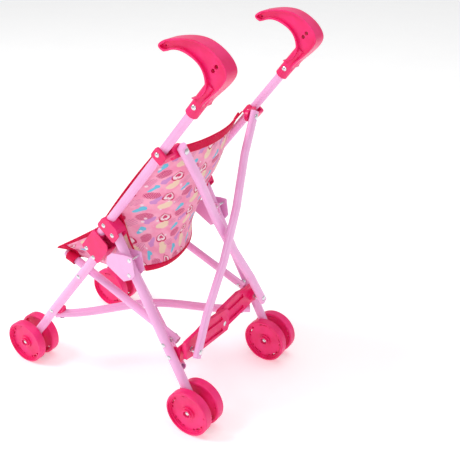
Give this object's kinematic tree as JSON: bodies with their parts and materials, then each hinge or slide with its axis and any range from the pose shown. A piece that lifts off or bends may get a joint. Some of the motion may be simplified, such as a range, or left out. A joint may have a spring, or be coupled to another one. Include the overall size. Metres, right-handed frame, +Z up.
{
  "type": "doll stroller",
  "caption": "Folding umbrella-style doll stroller with a hammock seat, hooked handles, crossed frame tubes and twin wheels; its sides push together.",
  "frame": {"origin": "on the floor, midway between the sides and between the front and the rear", "axes": "+Z up, +Y to the rear where the pusher stands, +X to the stroller's left"},
  "size_m": [0.2554, 0.4245, 0.5539],
  "materials": {
    "tube": "gloss pale pink",
    "plate": "gloss pale pink",
    "plastic": "hot pink",
    "rivet": "bright",
    "axle": "bright",
    "wheel": "hot pink",
    "cloth": "printed woven polyester",
    "leg_tube": "gloss pale pink",
    "handle": "hot pink"
  },
  "bodies": {
    "left_push": {"left_push_tube": "tube", "left_handle": "handle", "left_knee_bracket": "plastic", "left_hinge_bracket": "plastic", "left_push_rivets": "rivet", "seat_back": "cloth", "seat_base": "cloth"},
    "left_front_leg": {"left_front_leg": "leg_tube", "left_front_leg_pins": "rivet", "left_front_axle": "axle"},
    "left_rear_leg": {"left_rear_leg": "leg_tube", "left_stop_plates": "plate", "left_rear_leg_rivets": "rivet", "left_rear_axle": "axle"},
    "left_seat_rail": {"left_seat_rail": "tube", "left_rail_rear_pin": "rivet"},
    "left_front_clip": {"left_front_clip": "plastic", "left_front_clip_pin": "rivet"},
    "left_rear_clip": {"left_rear_clip": "plastic"},
    "left_collar": {"left_collar": "plastic", "left_collar_pin": "rivet"},
    "left_strut": {"left_strut": "plastic", "left_strut_pins": "rivet"},
    "left_cross_bar": {"left_cross_bar": "tube", "left_cross_bar_pin": "rivet"},
    "left_cross_tube": {"left_cross_tube": "tube", "left_cross_tube_rivet": "rivet"},
    "left_front_outer_wheel": {"left_front_outer_wheel": "wheel"},
    "left_front_inner_wheel": {"left_front_inner_wheel": "wheel"},
    "left_rear_outer_wheel": {"left_rear_outer_wheel": "wheel"},
    "left_rear_inner_wheel": {"left_rear_inner_wheel": "wheel"},
    "right_push": {"right_push_tube": "tube", "right_handle": "handle", "right_knee_bracket": "plastic", "right_hinge_bracket": "plastic", "right_push_rivets": "rivet"},
    "right_front_leg": {"right_front_leg": "leg_tube", "right_front_leg_pins": "rivet", "right_front_axle": "axle"},
    "right_rear_leg": {"right_rear_leg": "leg_tube", "right_stop_plates": "plate", "right_rear_leg_rivets": "rivet", "right_rear_axle": "axle"},
    "right_seat_rail": {"right_seat_rail": "tube", "right_rail_rear_pin": "rivet"},
    "right_front_clip": {"right_front_clip": "plastic", "right_front_clip_pin": "rivet"},
    "right_rear_clip": {"right_rear_clip": "plastic"},
    "right_collar": {"right_collar": "plastic", "right_collar_pin": "rivet"},
    "right_strut": {"right_strut": "plastic", "right_strut_pins": "rivet"},
    "right_cross_bar": {"right_cross_bar": "tube", "right_cross_bar_pin": "rivet"},
    "right_cross_tube": {"right_cross_tube": "tube", "right_cross_tube_rivet": "rivet"},
    "right_front_outer_wheel": {"right_front_outer_wheel": "wheel"},
    "right_front_inner_wheel": {"right_front_inner_wheel": "wheel"},
    "right_rear_outer_wheel": {"right_rear_outer_wheel": "wheel"},
    "right_rear_inner_wheel": {"right_rear_inner_wheel": "wheel"}
  },
  "joints": [
    {"name": "fold", "type": "slide", "parent": "left_push", "child": "right_push", "axis": [1, 0, 0], "range_m": [0, 0.08], "deforming": ["seat_back", "seat_base"]},
    {"name": "left_rear_leg_hinge", "type": "hinge", "parent": "left_push", "child": "left_rear_leg", "pos_m": [0.106, 0.02396, 0.2764], "axis": [1, 0, 0], "range_deg": [-27.9, 0]},
    {"name": "left_knee_hinge", "type": "hinge", "parent": "left_push", "child": "left_front_leg", "pos_m": [0.106, -0.01463, 0.23227], "axis": [1, 0, 0], "range_deg": [-60.42, 0]},
    {"name": "left_rail_hinge", "type": "hinge", "parent": "left_front_leg", "child": "left_seat_rail", "pos_m": [0.0884, -0.05, 0.18936], "axis": [1, 0, 0], "range_deg": [0, 27.28]},
    {"name": "left_front_clip_hinge", "type": "hinge", "parent": "left_front_leg", "child": "left_front_clip", "pos_m": [0.097, -0.11583, 0.1095], "axis": [1, 0, 0], "range_deg": [0, 19.27]},
    {"name": "left_rear_clip_hinge", "type": "hinge", "parent": "left_rear_leg", "child": "left_rear_clip", "pos_m": [0.097, 0.10924, 0.1083], "axis": [1, 0, 0], "range_deg": [0, 12.16]},
    {"name": "left_collar_hinge", "type": "hinge", "parent": "left_push", "child": "left_collar", "pos_m": [0.106, 0.10948, 0.40846], "axis": [1, 0, 0], "range_deg": [-15.75, 0]},
    {"name": "left_strut_hinge", "type": "hinge", "parent": "left_rear_clip", "child": "left_strut", "pos_m": [0.0863, 0.1157, 0.1147], "axis": [0, 1, 0], "range_deg": [0, 61.14]},
    {"name": "left_cross_bar_hinge", "type": "hinge", "parent": "left_collar", "child": "left_cross_bar", "pos_m": [0.0833, 0.126, 0.4067], "axis": [0, 0.9987, 0.0503], "range_deg": [-14.75, 0]},
    {"name": "left_cross_tube_hinge", "type": "hinge", "parent": "left_front_clip", "child": "left_cross_tube", "pos_m": [0.088, -0.1203, 0.091], "axis": [0, 0.0311, 0.9995], "range_deg": [-18.43, 0]},
    {"name": "right_rear_leg_hinge", "type": "hinge", "parent": "right_push", "child": "right_rear_leg", "pos_m": [-0.106, 0.02396, 0.2764], "axis": [1, 0, 0], "range_deg": [-27.9, 0]},
    {"name": "right_knee_hinge", "type": "hinge", "parent": "right_push", "child": "right_front_leg", "pos_m": [-0.106, -0.01463, 0.23227], "axis": [1, 0, 0], "range_deg": [-60.42, 0]},
    {"name": "right_rail_hinge", "type": "hinge", "parent": "right_front_leg", "child": "right_seat_rail", "pos_m": [-0.0884, -0.05, 0.18936], "axis": [1, 0, 0], "range_deg": [0, 27.28]},
    {"name": "right_front_clip_hinge", "type": "hinge", "parent": "right_front_leg", "child": "right_front_clip", "pos_m": [-0.097, -0.11583, 0.1095], "axis": [1, 0, 0], "range_deg": [0, 19.27]},
    {"name": "right_rear_clip_hinge", "type": "hinge", "parent": "right_rear_leg", "child": "right_rear_clip", "pos_m": [-0.097, 0.10924, 0.1083], "axis": [1, 0, 0], "range_deg": [0, 12.16]},
    {"name": "right_collar_hinge", "type": "hinge", "parent": "right_push", "child": "right_collar", "pos_m": [-0.106, 0.10948, 0.40846], "axis": [1, 0, 0], "range_deg": [-15.75, 0]},
    {"name": "right_strut_hinge", "type": "hinge", "parent": "right_rear_clip", "child": "right_strut", "pos_m": [-0.0863, 0.1157, 0.1147], "axis": [0, 1, 0], "range_deg": [-61.14, 0]},
    {"name": "right_cross_bar_hinge", "type": "hinge", "parent": "right_collar", "child": "right_cross_bar", "pos_m": [-0.0833, 0.126, 0.4067], "axis": [0, 0.9987, 0.0503], "range_deg": [0, 14.75]},
    {"name": "right_cross_tube_hinge", "type": "hinge", "parent": "right_front_clip", "child": "right_cross_tube", "pos_m": [-0.088, -0.1203, 0.091], "axis": [0, 0.0311, 0.9995], "range_deg": [0, 18.43]},
    {"name": "left_front_outer_wheel_spin", "type": "hinge", "parent": "left_front_leg", "child": "left_front_outer_wheel", "pos_m": [0.105, -0.17724, 0.035], "axis": [1, 0, 0], "continuous": true},
    {"name": "left_front_inner_wheel_spin", "type": "hinge", "parent": "left_front_leg", "child": "left_front_inner_wheel", "pos_m": [0.105, -0.17724, 0.035], "axis": [1, 0, 0], "continuous": true},
    {"name": "left_rear_outer_wheel_spin", "type": "hinge", "parent": "left_rear_leg", "child": "left_rear_outer_wheel", "pos_m": [0.105, 0.14642, 0.035], "axis": [1, 0, 0], "continuous": true},
    {"name": "left_rear_inner_wheel_spin", "type": "hinge", "parent": "left_rear_leg", "child": "left_rear_inner_wheel", "pos_m": [0.105, 0.14642, 0.035], "axis": [1, 0, 0], "continuous": true},
    {"name": "right_front_outer_wheel_spin", "type": "hinge", "parent": "right_front_leg", "child": "right_front_outer_wheel", "pos_m": [-0.105, -0.17724, 0.035], "axis": [1, 0, 0], "continuous": true},
    {"name": "right_front_inner_wheel_spin", "type": "hinge", "parent": "right_front_leg", "child": "right_front_inner_wheel", "pos_m": [-0.105, -0.17724, 0.035], "axis": [1, 0, 0], "continuous": true},
    {"name": "right_rear_outer_wheel_spin", "type": "hinge", "parent": "right_rear_leg", "child": "right_rear_outer_wheel", "pos_m": [-0.105, 0.14642, 0.035], "axis": [1, 0, 0], "continuous": true},
    {"name": "right_rear_inner_wheel_spin", "type": "hinge", "parent": "right_rear_leg", "child": "right_rear_inner_wheel", "pos_m": [-0.105, 0.14642, 0.035], "axis": [1, 0, 0], "continuous": true}
  ],
  "couplings": [
    {"joint": "left_rear_leg_hinge", "follows": "fold", "rad_per_m": -6.0862},
    {"joint": "left_knee_hinge", "follows": "fold", "rad_per_m": -13.18},
    {"joint": "left_rail_hinge", "follows": "fold", "rad_per_m": 5.951},
    {"joint": "left_front_clip_hinge", "follows": "fold", "rad_per_m": 4.2036},
    {"joint": "left_rear_clip_hinge", "follows": "fold", "rad_per_m": 2.6526},
    {"joint": "left_collar_hinge", "follows": "fold", "rad_per_m": -3.4358},
    {"joint": "left_strut_hinge", "follows": "fold", "rad_per_m": 13.337},
    {"joint": "left_cross_bar_hinge", "follows": "fold", "rad_per_m": -3.2176},
    {"joint": "left_cross_tube_hinge", "follows": "fold", "rad_per_m": -4.0204},
    {"joint": "right_rear_leg_hinge", "follows": "fold", "rad_per_m": -6.0862},
    {"joint": "right_knee_hinge", "follows": "fold", "rad_per_m": -13.18},
    {"joint": "right_rail_hinge", "follows": "fold", "rad_per_m": 5.951},
    {"joint": "right_front_clip_hinge", "follows": "fold", "rad_per_m": 4.2036},
    {"joint": "right_rear_clip_hinge", "follows": "fold", "rad_per_m": 2.6526},
    {"joint": "right_collar_hinge", "follows": "fold", "rad_per_m": -3.4358},
    {"joint": "right_strut_hinge", "follows": "fold", "rad_per_m": -13.337},
    {"joint": "right_cross_bar_hinge", "follows": "fold", "rad_per_m": 3.2176},
    {"joint": "right_cross_tube_hinge", "follows": "fold", "rad_per_m": 4.0204}
  ]
}
